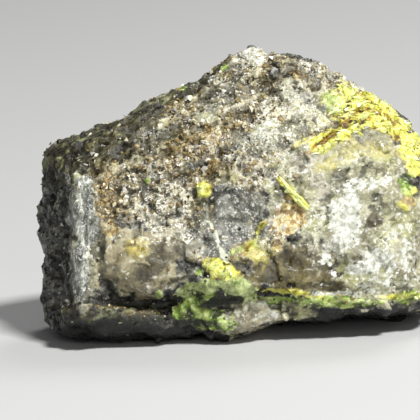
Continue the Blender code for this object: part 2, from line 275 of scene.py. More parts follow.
def seen_at(points):
    """Where the eye sees picture-frame points, in pixels of the picture."""
    nearer = VIEW_DISTANCE / (VIEW_DISTANCE + points[:, 1])
    across = VIEW_MIDDLE[0] + (points[:, 0] - VIEW_MIDDLE[0]) * nearer
    up = VIEW_MIDDLE[1] + (points[:, 2] - VIEW_MIDDLE[1]) * nearer
    return PICTURE_ORIGIN[0] + across / MM_PER_PIXEL, PICTURE_ORIGIN[1] - up / MM_PER_PIXEL


def smooth_step(low, high, values):
    part = np.clip((values - low) / (high - low), 0, 1)
    return part * part * (3 - 2 * part)


def patches(zones, x, y, ragged):
    """How strongly each point lies in any of the patches, from 0 to 1."""
    total = np.zeros(len(x))
    for centre_x, centre_y, half_width, half_height, turn, strength in zones:
        spin = math.radians(turn)
        across = (x - centre_x) * math.cos(spin) + (y - centre_y) * math.sin(spin)
        down = (y - centre_y) * math.cos(spin) - (x - centre_x) * math.sin(spin)
        reach = np.hypot(across / half_width, down / half_height)
        inside = 1 - smooth_step(0.7, 1.3, reach + ragged)
        total = np.maximum(total, inside * strength)
    return total


def noise_at(points, wavelength, shift):
    """Smooth noise at each point, about -1 to 1."""
    return np.array([noise.noise(Vector(point) / wavelength + Vector((shift,) * 3)) for point in points])


def drawn_out(points, rise, stretch):
    """The points, shortened along a line that rises to the right, to draw their texture out along it."""
    spin = math.radians(rise)
    along = points[:, 0] * math.cos(spin) + points[:, 2] * math.sin(spin)
    across = points[:, 2] * math.cos(spin) - points[:, 0] * math.sin(spin)
    return np.stack([along / stretch, points[:, 1], across], 1)


def chips_at(points, width, lean, shift):
    """The height of a set of broken flats, each leaning its own way."""
    heights = np.empty(len(points))
    middle = Vector((0.5, 0.5, 0.5))
    for index, point in enumerate(points):
        place = Vector(point) / width + Vector((shift,) * 3)
        centre = noise.voronoi(place)[1][0]
        heights[index] = (noise.cell_vector(centre * 7.3) - middle).dot(place - centre)
    return heights * width * lean * 2


def cells_at(points, width, shift):
    """How far each point's cell middle is, in widths, and the cell's own number from 0 to 1."""
    near, own = np.empty(len(points)), np.empty(len(points))
    for index, point in enumerate(points):
        distances, centres = noise.voronoi(Vector(point) / width + Vector((shift,) * 3))
        near[index] = distances[0]
        own[index] = noise.cell(centres[0] * 9.1)
    return near, own


def apply_modifiers(piece):
    graph = bpy.context.evaluated_depsgraph_get()
    mesh = bpy.data.meshes.new_from_object(piece.evaluated_get(graph))
    piece.modifiers.clear()
    piece.data = mesh
    return mesh


def skin_copy():
    """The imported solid's mesh, rebuilt as an even fine skin."""
    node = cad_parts["stone"]
    skin = bpy.data.objects.new("stone_skin", node.data.copy())
    bpy.context.scene.collection.objects.link(skin)
    fine = skin.modifiers.new("fine", "REMESH")
    fine.mode = "VOXEL"
    fine.voxel_size = SKIN_VOXEL * METRES_PER_MM
    soft = skin.modifiers.new("soft", "SMOOTH")
    soft.factor = 0.5
    soft.iterations = SMOOTHING
    mesh = apply_modifiers(skin)
    mesh.materials.clear()

    # The rib's top end is worn flat into the rock beside it
    points = to_picture(vertex_arrays(mesh)[0])
    from_top = np.linalg.norm((points - np.array(RIB_TOP)) / RIB_TOP_REACH, axis=1)
    from_rib = np.linalg.norm((points - np.array(RIB)) / np.array(RIB_REACH), axis=1)
    wear = np.maximum(1 - smooth_step(0.4, 1.0, from_top), RIB_WEAR * (1 - smooth_step(0.6, 1.0, from_rib)))
    worn = skin.vertex_groups.new(name="worn")
    for index in np.flatnonzero(wear > 0):
        worn.add([int(index)], float(wear[index]), "REPLACE")
    flatten = skin.modifiers.new("flatten", "SMOOTH")
    flatten.vertex_group = "worn"
    flatten.iterations = RIB_PASSES
    apply_modifiers(skin)
    skin.vertex_groups.clear()
    return skin


def vertex_arrays(mesh):
    places = np.empty(len(mesh.vertices) * 3)
    mesh.vertices.foreach_get("co", places)
    normals = np.empty(len(mesh.vertices) * 3)
    mesh.vertices.foreach_get("normal", normals)
    return places.reshape(-1, 3), normals.reshape(-1, 3)


def zone_weights(points, normals):
    """Each kind's weight at each point."""
    x, y = seen_at(points)
    ragged = sum(strength * noise_at(points, wavelength, seed) for strength, wavelength, seed in RAGGED)
    behind = smooth_step(-0.15, 0.25, normals[:, 1] + 0.15 * noise_at(points, 2.2, 1.3))
    behind *= smooth_step(5.0, 9.0, points[:, 1])
    weights = {}
    for kind in KINDS:
        front = patches(FRONT_ZONES[kind], x, y, ragged)
        back = patches(BACK_ZONES[kind], x, y, ragged)
        weights[kind] = front * (1 - behind) + back * behind
    # Painted shade: the faces that look down lose their granular, sugary and rusty patches and stay dark rock
    under = smooth_step(0.45, 0.8, -normals[:, 2])
    for kind in ("granular", "sugar", "rust"):
        weights[kind] *= 1 - 0.8 * under
    return weights


def raise_relief(points, normals, weights):
    """The points, lifted or sunk along their normals by each kind's relief, and how high each one stands."""
    fine, _ = cells_at(points, 0.42, 4.4)
    _, grain_own = cells_at(points, 0.75, 8.8)
    wide_chips = chips_at(points, 2.1, 0.26, 2.2)
    small_chips = chips_at(points, 0.9, 0.30, 6.6)
    wave = noise_at(points, 1.0, 7.5)
    grit = noise_at(points, 0.36, 2.9)
    layered = noise_at(points * np.array((1.0, 1.0, 2.4)), 1.5, 4.1)
    tall_chips = chips_at(points * np.array((1.0, 1.0, 0.30)), 1.5, 0.20, 5.5)
    flakes = noise_at(drawn_out(points, 30, 3.0), 0.7, 3.3)
    pockets = smooth_step(0.12, 0.45, noise_at(drawn_out(points, 30, 1.6), 0.9, 14.5))
    folds = np.abs(noise_at(drawn_out(points, 34, 3.2), 0.62, 7.7))

    parts = {
        "granular": (
            0.20 * (grain_own - 0.5) + 0.65 * small_chips + 0.75 * wide_chips - 0.30 * pockets + 0.07 * grit
        ),
        "olive_dark": (
            0.34 * flakes + 0.65 * small_chips + 0.4 * wide_chips - 0.15 * pockets + 0.06 * grit
        ),
        "pale_quartz": 0.7 * wide_chips + 0.7 * small_chips + 0.04 * grit,
        "beige": 0.9 * wide_chips + 0.30 * small_chips,
        "smoky": 0.8 * wide_chips + 0.4 * small_chips,
        "slate": 0.7 * wide_chips + 0.35 * small_chips,
        "corner": 0.9 * tall_chips + 0.12 * small_chips,
        "frost_and_highlight": 0.6 * small_chips + 0.16 * (0.5 - fine) + 0.04,
        "green": 0.42 * wave + 0.6 * small_chips + 0.04 * grit,
        "yellow": 0.55 * (0.30 - folds) + 0.45 * small_chips + 0.07 * grit,
        "crease": -0.12 + 0.3 * small_chips,
        "dark": -0.10 + 0.5 * small_chips,
    }
    rise = 0.75 * small_chips + 0.8 * wide_chips + 0.18 * layered + 0.07 * grit
    lift = rise.copy()
    for kind, part in parts.items():
        weight = weights[kind]
        rise = rise * (1 - weight) + (part + CRUST_RISE.get(kind, 0.0)) * weight
        lift = lift * (1 - weight) + part * weight
    return points + normals * rise[:, None], np.clip(0.5 + lift / 0.5, 0, 1)


def store(mesh, name, values):
    layer = mesh.attributes.new(name, "FLOAT", "POINT")
    layer.data.foreach_set("value", values.astype(np.float32))


class Graph:
    """Short ways to build one material's nodes."""

    def __init__(self, name):
        self.material = bpy.data.materials.new(name)
        self.material.use_nodes = True
        self.nodes = self.material.node_tree.nodes
        self.links = self.material.node_tree.links
        self.surface = self.nodes["Principled BSDF"]
        self.place = self.nodes.new("ShaderNodeTexCoord").outputs["Object"]

    def set(self, **values):
        for name, value in values.items():
            self.surface.inputs[name.replace("_", " ")].default_value = value

    def feed(self, value, socket):
        if isinstance(value, bpy.types.NodeSocket):
            self.links.new(value, socket)
        else:
            socket.default_value = value

    def attribute(self, name):
        node = self.nodes.new("ShaderNodeAttribute")
        node.attribute_name = name
        return node.outputs["Fac"]

    def noise(self, size_mm, detail=4.0, rough=0.6, warp=0.0, rise=0.0, stretch=1.0):
        """Noise of a size, drawn out along a line that rises to the right by so many degrees."""
        mapping = self.nodes.new("ShaderNodeMapping")
        mapping.vector_type = "TEXTURE"
        mapping.inputs["Rotation"].default_value = (0.0, -math.radians(rise), 0.0)
        mapping.inputs["Scale"].default_value = (stretch, 1.0, 1.0)
        self.links.new(self.place, mapping.inputs["Vector"])
        node = self.nodes.new("ShaderNodeTexNoise")
        self.links.new(mapping.outputs["Vector"], node.inputs["Vector"])
        node.inputs["Scale"].default_value = 1000.0 / size_mm
        node.inputs["Detail"].default_value = detail
        node.inputs["Roughness"].default_value = rough
        node.inputs["Distortion"].default_value = warp
        return node.outputs["Fac"]

    def cells(self, size_mm):
        """A number of its own, from 0 to 1, for each grain of a size."""
        node = self.nodes.new("ShaderNodeTexVoronoi")
        self.links.new(self.place, node.inputs["Vector"])
        node.inputs["Scale"].default_value = 1000.0 / size_mm
        split = self.nodes.new("ShaderNodeSeparateColor")
        self.links.new(node.outputs["Color"], split.inputs["Color"])
        return split.outputs["Red"]

    def math(self, operation, a, b):
        node = self.nodes.new("ShaderNodeMath")
        node.operation = operation
        self.feed(a, node.inputs[0])
        self.feed(b, node.inputs[1])
        return node.outputs[0]

    def plus(self, a, b):
        return self.math("ADD", a, b)

    def times(self, a, b):
        return self.math("MULTIPLY", a, b)

    def less(self, a, b):
        return self.math("SUBTRACT", a, b)

    def most(self, *values):
        total = values[0]
        for value in values[1:]:
            total = self.math("MAXIMUM", total, value)
        return total

    def between(self, value, low, high, to_low=0.0, to_high=1.0):
        node = self.nodes.new("ShaderNodeMapRange")
        node.interpolation_type = "SMOOTHSTEP"
        for name, number in (("From Min", low), ("From Max", high), ("To Min", to_low), ("To Max", to_high)):
            node.inputs[name].default_value = number
        self.feed(value, node.inputs["Value"])
        return node.outputs["Result"]

    def mix(self, factor, first, second):
        node = self.nodes.new("ShaderNodeMix")
        node.data_type = "RGBA"
        self.feed(factor, node.inputs["Factor"])
        for value, socket in ((first, node.inputs[6]), (second, node.inputs[7])):
            self.feed((*value, 1.0) if isinstance(value, tuple) and len(value) == 3 else value, socket)
        return node.outputs[2]

    def ramp(self, value, *stops):
        """A stepped or blended run of colours: (place, colour) for each stop."""
        node = self.nodes.new("ShaderNodeValToRGB")
        self.feed(value, node.inputs["Fac"])
        elements = node.color_ramp.elements
        while len(elements) < len(stops):
            elements.new(0.5)
        for element, (place, colour) in zip(elements, stops):
            element.position = place
            element.color = (*colour, 1.0)
        return node.outputs["Color"]

    def torn(self, name, texture, width=0.25):
        """A zone's weight, broken up by a texture so that its edge is ragged."""
        push = self.times(self.less(texture, 0.5), 0.8)
        return self.between(self.plus(self.attribute(name), push), 0.5 - width, 0.5 + width)

    def bump(self, height, strength, depth_mm):
        node = self.nodes.new("ShaderNodeBump")
        node.inputs["Strength"].default_value = strength
        node.inputs["Distance"].default_value = depth_mm * METRES_PER_MM
        self.feed(height, node.inputs["Height"])
        previous = self.surface.inputs["Normal"].links
        if previous:
            self.links.new(previous[0].from_socket, node.inputs["Normal"])
        self.links.new(node.outputs["Normal"], self.surface.inputs["Normal"])

    def finish(self, colour, roughness):
        self.feed(colour, self.surface.inputs["Base Color"])
        self.feed(roughness, self.surface.inputs["Roughness"])
        return self.material


def rock_colour(g, tones):
    """Dark skarn with its olive, granular and rusty zones."""
    uneven = g.plus(g.times(tones["mixed"], 0.55), g.times(tones["mid"], 0.5))
    # The dark rock, whose lightest tones and pale grit specks are partly pale grains and partly painted
    # highlights on its lumps
    dark = g.ramp(
        uneven,
        (0.44, (0.005, 0.005, 0.004)), (0.52, (0.020, 0.019, 0.015)), (0.59, (0.080, 0.077, 0.060)),
        (0.66, (0.30, 0.295, 0.235)),
    )
    dark = g.mix(g.between(tones["grit"], 0.88, 0.96, 0.0, 0.5), dark, (0.36, 0.36, 0.28))
    olive = g.ramp(
        tones["flake"],
        (0.38, (0.005, 0.004, 0.0025)), (0.50, (0.022, 0.019, 0.008)), (0.58, (0.075, 0.068, 0.026)),
        (0.65, (0.21, 0.20, 0.075)), (0.73, (0.56, 0.55, 0.32)),
    )
    olive = g.mix(g.between(tones["patch"], 0.55, 0.63, 0.0, 0.62), olive, (0.31, 0.33, 0.145))
    granular = g.ramp(
        tones["mixed"],
        (0.20, (0.012, 0.009, 0.005)), (0.32, (0.060, 0.045, 0.020)), (0.43, (0.17, 0.135, 0.062)),
        (0.53, (0.32, 0.26, 0.13)), (0.63, (0.44, 0.40, 0.24)), (0.74, (0.62, 0.585, 0.42)),
        (0.88, (0.88, 0.86, 0.76)),
    )
    granular = g.mix(g.between(tones["patch"], 0.37, 0.48, 0.78, 0.0), granular, (0.030, 0.022, 0.011))
    granular = g.mix(g.between(tones["patch"], 0.52, 0.62, 0.0, 0.72), granular, (0.72, 0.68, 0.52))
    granular = g.mix(g.between(tones["tint"], 0.54, 0.62, 0.0, 0.30), granular, (0.42, 0.44, 0.16))
    rust = g.ramp(
        tones["fine"],
        (0.30, (0.034, 0.020, 0.007)), (0.43, (0.17, 0.105, 0.030)), (0.53, (0.40, 0.29, 0.10)),
        (0.62, (0.62, 0.53, 0.27)), (0.74, (0.84, 0.80, 0.62)),
    )
    colour = g.mix(g.torn("granular", tones["mid"]), dark, granular)
    colour = g.mix(g.times(g.torn("olive_dark", tones["flake"]), 0.92), colour, olive)
    rusty = g.times(g.torn("rust", tones["fine"]), g.between(tones["grain"], 0.25, 0.7, 0.1, 0.85))
    return g.mix(rusty, colour, rust)


def quartz_colour(g, tones):
    """Cloudy quartz: pale warm grey with dark depths, or smoky brown-grey."""
    pale = g.ramp(
        tones["veil"],
        (0.30, (0.075, 0.070, 0.036)), (0.42, (0.20, 0.19, 0.105)), (0.54, (0.38, 0.37, 0.225)),
        (0.68, (0.63, 0.62, 0.45)),
    )
    smoky = g.ramp(
        tones["veil"],
        (0.32, (0.014, 0.011, 0.004)), (0.45, (0.048, 0.038, 0.014)), (0.57, (0.135, 0.112, 0.050)),
        (0.71, (0.36, 0.32, 0.19)),
    )
    pale = g.mix(g.between(tones["grit"], 0.55, 0.95, 0.0, 0.42), pale, (0.80, 0.80, 0.72))
    pale = g.mix(g.between(tones["grit"], 0.05, 0.30, 0.28, 0.0), pale, (0.17, 0.16, 0.10))
    pale = g.mix(g.between(tones["tint"], 0.52, 0.66, 0.0, 0.45), pale, (0.50, 0.45, 0.38))
    pale = g.mix(g.between(tones["tint"], 0.36, 0.46, 0.45, 0.0), pale, (0.52, 0.52, 0.20))
    streak = g.between(tones["streak"], 0.60, 0.68, 0.0, 0.55)
    smoky = g.mix(streak, smoky, (0.66, 0.65, 0.55))
    beige = g.ramp(
        tones["veil"],
        (0.30, (0.060, 0.050, 0.024)), (0.42, (0.18, 0.155, 0.085)), (0.54, (0.36, 0.32, 0.195)),
        (0.68, (0.60, 0.57, 0.42)),
    )
    beige = g.mix(streak, beige, (0.72, 0.70, 0.58))
    colour = g.mix(g.torn("beige", tones["fine"]), pale, beige)
    colour = g.mix(g.torn("smoky", tones["fine"]), colour, smoky)
    slate = g.ramp(
        tones["veil"],
        (0.32, (0.020, 0.020, 0.017)), (0.45, (0.080, 0.080, 0.068)), (0.56, (0.20, 0.20, 0.170)),
        (0.68, (0.46, 0.46, 0.40)),
    )
    glint = g.plus(g.times(tones["spark"], 0.5), tones["fine"])
    slate = g.mix(g.between(glint, 0.86, 1.02, 0.0, 0.75), slate, (0.70, 0.71, 0.63))
    colour = g.mix(g.torn("slate", tones["mid"], 0.38), colour, slate)
    # The corner rib's grey glassy quartz: its upright white streaks are partly frost and partly painted
    # highlight, and the glints are painted highlights
    glass = g.ramp(
        tones["upright"],
        (0.36, (0.036, 0.037, 0.030)), (0.47, (0.14, 0.145, 0.12)), (0.55, (0.30, 0.31, 0.26)),
        (0.62, (0.66, 0.67, 0.60)), (0.68, (0.88, 0.89, 0.85)),
    )
    glass = g.mix(g.between(glint, 0.90, 1.02, 0.0, 0.5), glass, (0.86, 0.87, 0.82))
    return g.mix(g.torn("corner", tones["fine"]), colour, glass)


def crust_colour(g, tones):
    """Lemon crust with brown hollows that are partly its own brown and partly painted shade, and crests
    painted paler as highlight; it passes into mint and dark green, likewise painted darker where it lies low.
    """
    # The yellow follows the relief height with noise and grooves, so low spots get painted shade and crests
    # painted highlight
    height = g.plus(g.times(g.attribute("lift"), 0.46), g.times(tones["fine"], 0.24))
    height = g.plus(height, g.times(tones["groove"], 0.36))
    yellow = g.ramp(
        height,
        (0.28, (0.07, 0.040, 0.006)), (0.38, (0.34, 0.20, 0.016)), (0.47, (0.54, 0.49, 0.045)),
        (0.59, (0.70, 0.72, 0.125)), (0.73, (0.82, 0.86, 0.38)),
    )
    # The green likewise goes darker where the relief lies low: painted shade
    swell = g.plus(g.times(g.attribute("lift"), 0.45), g.times(tones["mid"], 0.55))
    green = g.ramp(
        swell,
        (0.32, (0.005, 0.010, 0.001)), (0.42, (0.040, 0.072, 0.005)), (0.50, (0.15, 0.24, 0.022)),
        (0.59, (0.40, 0.53, 0.10)), (0.72, (0.74, 0.83, 0.38)),
    )
    minty = g.ramp(
        tones["fine"], (0.32, (0.19, 0.26, 0.05)), (0.46, (0.48, 0.58, 0.19)), (0.62, (0.80, 0.87, 0.46)),
    )
    green = g.mix(g.times(g.torn("mint", tones["fine"]), 0.85), green, minty)
    share = g.less(g.attribute("green"), g.attribute("yellow"))
    share = g.plus(share, g.times(tones["mid"], 1.4))
    crust = g.mix(g.between(share, 0.45, 0.95), yellow, green)
    crust = g.mix(g.between(tones["grit"], 0.72, 0.95, 0.0, 0.45), crust, (0.84, 0.86, 0.58))
    crust = g.mix(g.between(tones["grain"], 0.04, 0.22, 0.55, 0.0), crust, (0.13, 0.115, 0.020))
    # Creases: dark brown to orange, partly their own brown and partly painted shade
    crease = g.ramp(
        tones["fine"],
        (0.40, (0.022, 0.018, 0.005)), (0.50, (0.20, 0.11, 0.012)), (0.62, (0.58, 0.34, 0.035)),
    )
    return g.mix(g.torn("crease", tones["fine"], 0.15), crust, crease)


def surface_tones(g):
    """The textures that all zones share, some drawn out along the rock's grain, the glass or the crust."""
    tones = {
        "veil": g.noise(1.9, 9.0, 0.70, 0.4),
        "mid": g.noise(1.0, 7.0, 0.68),
        "fine": g.noise(0.45, 6.0, 0.70),
        "grain": g.cells(0.42),
        "grit": g.cells(0.22),
        "spark": g.cells(0.13),
        "flake": g.noise(0.55, 6.0, 0.70, 0.2, 30, 3.0),
        "streak": g.noise(0.50, 5.0, 0.65, 0.3, -18, 5.0),
        "upright": g.noise(0.60, 7.0, 0.72, 0.3, 80, 2.6),
        "groove": g.noise(0.42, 5.0, 0.65, 0.3, 34, 4.0),
        "tint": g.noise(3.4, 4.0, 0.6),
        "patch": g.noise(1.5, 5.0, 0.62, 0.5, 30, 1.7),
    }
    blend = g.plus(g.times(tones["fine"], 0.36), g.times(tones["flake"], 0.42))
    tones["mixed"] = g.plus(g.times(tones["grain"], 0.30), blend)
    return tones


def stone_colour(g, tones, quartz, crust, frost_and_highlight):
    """Rock and quartz, then frost with its painted highlights, stains, veins, specks with painted glints and
    crust over them, and painted shade where it lies deep, in the dark patches and on the faces that look down.
    """
    colour = g.mix(quartz, rock_colour(g, tones), quartz_colour(g, tones))
    # White frost, which on the block and the corner rib is painted highlight
    frosted = g.ramp(
        tones["fine"], (0.36, (0.32, 0.325, 0.25)), (0.48, (0.62, 0.63, 0.54)), (0.60, (0.90, 0.91, 0.86)),
    )
    colour = g.mix(g.times(frost_and_highlight, 0.9), colour, frosted)

    orange = g.ramp(
        tones["mixed"],
        (0.30, (0.060, 0.032, 0.008)), (0.42, (0.28, 0.145, 0.026)), (0.52, (0.56, 0.35, 0.075)),
        (0.62, (0.74, 0.62, 0.27)), (0.74, (0.88, 0.85, 0.72)),
    )
    stained = g.times(g.torn("rust", tones["fine"]), g.times(quartz, 0.72))
    stained = g.times(stained, g.less(1.0, g.attribute("corner")))
    colour = g.mix(stained, colour, orange)
    smear = g.plus(g.attribute("yellow"), g.times(g.less(tones["fine"], 0.5), 0.9))
    colour = g.mix(g.between(smear, 0.12, 0.50, 0.0, 0.62), colour, (0.58, 0.50, 0.085))
    # Pale veins, which on the block at lower left are painted highlights
    colour = g.mix(g.torn("vein", tones["fine"], 0.2), colour, (0.56, 0.58, 0.45))

    sugar = g.attribute("sugar")
    # White specks: sugary quartz grains, with painted glints from the small spark cells
    speck = g.plus(tones["spark"], g.times(sugar, 0.50))
    speck = g.plus(speck, g.plus(tones["mid"], g.times(tones["fine"], 1.1)))
    colour = g.mix(g.between(speck, 2.16, 2.36, 0.0, 0.85), colour, (0.90, 0.90, 0.82))
    sugared = g.times(sugar, g.between(tones["fine"], 0.42, 0.62, 0.0, 0.45))
    colour = g.mix(sugared, colour, (0.80, 0.78, 0.66))
    colour = g.mix(crust, colour, crust_colour(g, tones))

    green = g.attribute("green")
    # Painted shade where the relief lies low, less on the green
    painted_hollow_shade = g.between(g.attribute("lift"), 0.10, 0.42, 0.65, 0.0)
    painted_hollow_shade = g.times(painted_hollow_shade, g.less(1.0, g.times(green, 0.7)))
    colour = g.mix(painted_hollow_shade, colour, (0.02, 0.018, 0.012))
    # Painted shade: the dark patches go near-black
    colour = g.mix(g.times(g.torn("dark", tones["fine"]), 0.9), colour, (0.010, 0.011, 0.006))
    # Painted shade on the faces that look down, less on quartz and green
    kept = g.most(quartz, g.times(green, 0.85))
    shaded = g.times(g.attribute("underside"), g.less(0.96, g.times(kept, 0.86)))
    return g.mix(shaded, colour, (0.006, 0.006, 0.005))


def stone_material():
    """The whole skin: each zone's colour, gloss and depth, with ragged edges."""
    g = Graph("pottsite_rock")
    tones = surface_tones(g)
    quartz = g.most(
        g.torn("pale_quartz", tones["mid"]), g.torn("smoky", tones["mid"]), g.torn("beige", tones["mid"]),
        g.torn("corner", tones["fine"]), g.torn("slate", tones["mid"]),
    )
    crust = g.most(g.torn("yellow", tones["fine"], 0.12), g.torn("green", tones["fine"], 0.12))
    push = g.plus(g.times(g.less(tones["mid"], 0.5), 2.2), g.times(g.less(tones["fine"], 0.5), 1.2))
    # The frost mask, partly painted highlight on the block and the corner rib
    frost_and_highlight = g.between(g.plus(g.attribute("frost_and_highlight"), push), 0.50, 0.72)
    colour = stone_colour(g, tones, quartz, crust, frost_and_highlight)

    rough_rock = g.between(tones["grain"], 0.1, 0.9, 0.14, 0.52)
    rough_quartz = g.between(frost_and_highlight, 0.2, 0.9, 0.12, 0.45)
    roughness = g.plus(g.times(rough_quartz, quartz), g.times(rough_rock, g.less(1.0, quartz)))
    roughness = g.plus(g.times(crust, 0.25), roughness)
    g.feed(g.times(quartz, 0.40), g.surface.inputs["Subsurface Weight"])
    g.set(IOR=1.54, Subsurface_Radius=(1.0, 0.95, 0.80), Subsurface_Scale=0.0008)

    calm = g.less(1.0, g.times(g.attribute("smoky"), 0.7))
    g.bump(g.times(g.noise(0.8, 7.0, 0.65), calm), 0.9, 0.28)
    g.bump(g.times(tones["fine"], calm), 0.6, 0.14)
    g.bump(tones["grain"], 0.30, 0.08)
    g.bump(tones["grit"], 0.35, 0.05)
    g.bump(tones["spark"], 0.45, 0.05)
    return g.finish(colour, roughness)


def make_skin():
    """The finished skin, with the places, normals, zone weights and tints of its vertices."""
    skin = skin_copy()
    mesh = skin.data
    places, normals = vertex_arrays(mesh)
    turned_normals = normals @ np.array(TURN)
    points = to_picture(places)
    weights = zone_weights(points, turned_normals)
    points, lift = raise_relief(points, turned_normals, weights)
    places = to_row(points)
    places[:, 2] = np.maximum(places[:, 2], 0.0)
    mesh.vertices.foreach_set("co", places.ravel())
    for kind in KINDS:
        store(mesh, kind, weights[kind])
    store(mesh, "lift", lift)
    # How much each point faces down, for the painted shade on the underside
    store(mesh, "underside", smooth_step(0.22, 0.62, -turned_normals[:, 2]))
    mesh.materials.append(stone_material())
    mesh.shade_smooth()
    mesh.set_sharp_from_angle(angle=SHARP_EDGE)
    mesh.update()
    tint = np.clip(0.5 + 1.1 * noise_at(points, 1.3, 12.3), 0, 1)
    return skin, places, vertex_arrays(mesh)[1], weights, tint


def lump_shapes(seed, kinds, corners):
    """Small angular lumps: the hulls of random points, as (vertices, triangles)."""
    rng = np.random.default_rng(seed)
    shapes = []
    for _ in range(kinds):
        shape = bmesh.new()
        directions = rng.normal(size=(corners, 3))
        directions /= np.linalg.norm(directions, axis=1)[:, None]
        for direction in directions * rng.uniform(0.75, 1.1, (corners, 1)):
            shape.verts.new(direction)
        shapes.append(hulled(shape))
    return shapes


def crystal_shapes(sides, length, tip):
    """A prism with pointed ends, along Z, as (vertices, triangles)."""
    shape = bmesh.new()
    for end in (-1, 1):
        for side in range(sides):
            angle = 2 * math.pi * side / sides
            shape.verts.new((math.cos(angle), math.sin(angle), end * length))
        shape.verts.new((0.0, 0.0, end * (length + tip)))
    return [hulled(shape)]


def hulled(shape):
    """The hull of a shape's points, as (vertices, triangles). The shape is used up."""
    bmesh.ops.convex_hull(shape, input=shape.verts)
    bmesh.ops.delete(shape, geom=[vert for vert in shape.verts if not vert.link_faces], context="VERTS")
    bmesh.ops.recalc_face_normals(shape, faces=shape.faces)
    shape.verts.index_update()
    vertices = np.array([vert.co for vert in shape.verts])
    triangles = np.array([[vert.index for vert in face.verts] for face in shape.faces])
    shape.free()
    return vertices, triangles


def random_turns(rng, count):
    """Evenly spread random rotations, as 3 by 3 matrices."""
    w, x, y, z = rng.normal(size=(4, count))
    size = np.sqrt(w * w + x * x + y * y + z * z)
    w, x, y, z = w / size, x / size, y / size, z / size
    return np.stack([
        np.stack([1 - 2 * (y * y + z * z), 2 * (x * y - z * w), 2 * (x * z + y * w)], -1),
        np.stack([2 * (x * y + z * w), 1 - 2 * (x * x + z * z), 2 * (y * z - x * w)], -1),
        np.stack([2 * (x * z - y * w), 2 * (y * z + x * w), 1 - 2 * (x * x + y * y)], -1),
    ], 1)


def aligned_turns(rng, normals, along, wander):
    """Rotations that lay Z along a direction in the surface, with a little scatter."""
    forward = along - normals * (normals @ along)[:, None] + rng.normal(scale=wander, size=normals.shape)
    forward /= np.linalg.norm(forward, axis=1)[:, None]
    across = np.cross(normals + rng.normal(scale=ROLL_WANDER, size=normals.shape), forward)
    across /= np.linalg.norm(across, axis=1)[:, None]
    return np.stack([across, np.cross(forward, across), forward], -1)


def scatter(name, seed, share, count, *look, **lay):
    """One joined mesh of small solids, set where share is high."""
    rng = np.random.default_rng(seed)
    share = np.where(PLACES[:, 2] > FOOT_HEIGHT, share, 0.0)
    set_solids(name, rng, rng.choice(len(PLACES), count, p=share / share.sum()), *look, **lay)


def set_solids(
    name, rng, spots, shapes, sizes, material, proud, stretch=(1.0, 1.0, 1.0), along=None, wander=0.16
):
    """One joined mesh of small solids, one at each chosen vertex of the skin.

    sizes are the smallest and largest in mm, and proud is how far each middle stands out, in half lengths.
    """
    count = len(spots)
    turns = random_turns(rng, count) if along is None else aligned_turns(rng, NORMALS[spots], along, wander)
    tones = 0.5 * rng.random(count) + 0.5 * TINT[spots]
    small, large = sizes
    lengths = (small + (large - small) * rng.random(count) ** SIZE_BIAS) * METRES_PER_MM / 2
    kinds = rng.integers(len(shapes), size=count)
    jitter = rng.normal(scale=JITTER * METRES_PER_MM, size=(count, 3))
    vertices, triangles, own_tones, total = [], [], [], 0
    for kind, (shape, faces) in enumerate(shapes):
        chosen = np.flatnonzero(kinds == kind)
        turned = np.einsum("nij,vj->nvi", turns[chosen], shape * stretch) * lengths[chosen, None, None]
        outward = NORMALS[spots[chosen]] * (lengths[chosen] * proud)[:, None]
        middles = PLACES[spots[chosen]] + outward + jitter[chosen]
        vertices.append((turned + middles[:, None, :]).reshape(-1, 3))
        firsts = total + len(shape) * np.arange(len(chosen))
        triangles.append((faces[None] + firsts[:, None, None]).reshape(-1, 3))
        own_tones.append(np.repeat(tones[chosen], len(shape)))
        total += len(shape) * len(chosen)
    vertices = np.concatenate(vertices)
    vertices[:, 2] = np.maximum(vertices[:, 2], 0.0)
    mesh = bpy.data.meshes.new(name)
    mesh.from_pydata(vertices.tolist(), [], np.concatenate(triangles).tolist())
    store(mesh, "tone", np.concatenate(own_tones))
    mesh.materials.append(material)
    mesh.update()
    piece = bpy.data.objects.new(name, mesh)
    bpy.context.scene.collection.objects.link(piece)
    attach(piece, "root")


def mineral(name, *stops, roughness=(0.2, 0.4), **values):
    """A small crystal's material: a run of tones from grain to grain, a little clouded within each."""
    g = Graph(name)
    cloud = g.times(g.less(g.noise(0.3, 4.0, 0.6), 0.5), 0.5)
    tone = g.plus(g.attribute("tone"), cloud)
    colour = g.ramp(tone, *stops)
    g.set(**values)
    g.bump(g.noise(0.15, 3.0), 0.3, 0.03)
    return g.finish(colour, g.between(tone, 0.1, 0.9, *roughness))


def make_floor():
    mesh = bpy.data.meshes.new("floor")
    shape = bmesh.new()
    bmesh.ops.create_grid(shape, x_segments=1, y_segments=1, size=FLOOR_HALF_WIDTH)
    shape.to_mesh(mesh)
    shape.free()
    floor = bpy.data.objects.new("floor", mesh)
    bpy.context.scene.collection.objects.link(floor)
    g = Graph("pale_floor")
    mesh.materials.append(g.finish((0.50, 0.50, 0.49, 1.0), 0.8))


def add_lamp(name, azimuth, elevation, distance, width, watts):
    """A soft square lamp that faces the stone."""
    lamp = bpy.data.lights.new(name, "AREA")
    lamp.size = width
    lamp.energy = watts
    holder = bpy.data.objects.new(name, lamp)
    turn, rise = math.radians(azimuth), math.radians(elevation)
    away = Vector((math.sin(turn) * math.cos(rise), -math.cos(turn) * math.cos(rise), math.sin(rise)))
    facing = away.to_track_quat("Z", "Y").to_matrix().to_4x4()
    holder.matrix_world = Matrix.Translation(LAMP_AIM + away * distance) @ facing
    bpy.context.scene.collection.objects.link(holder)


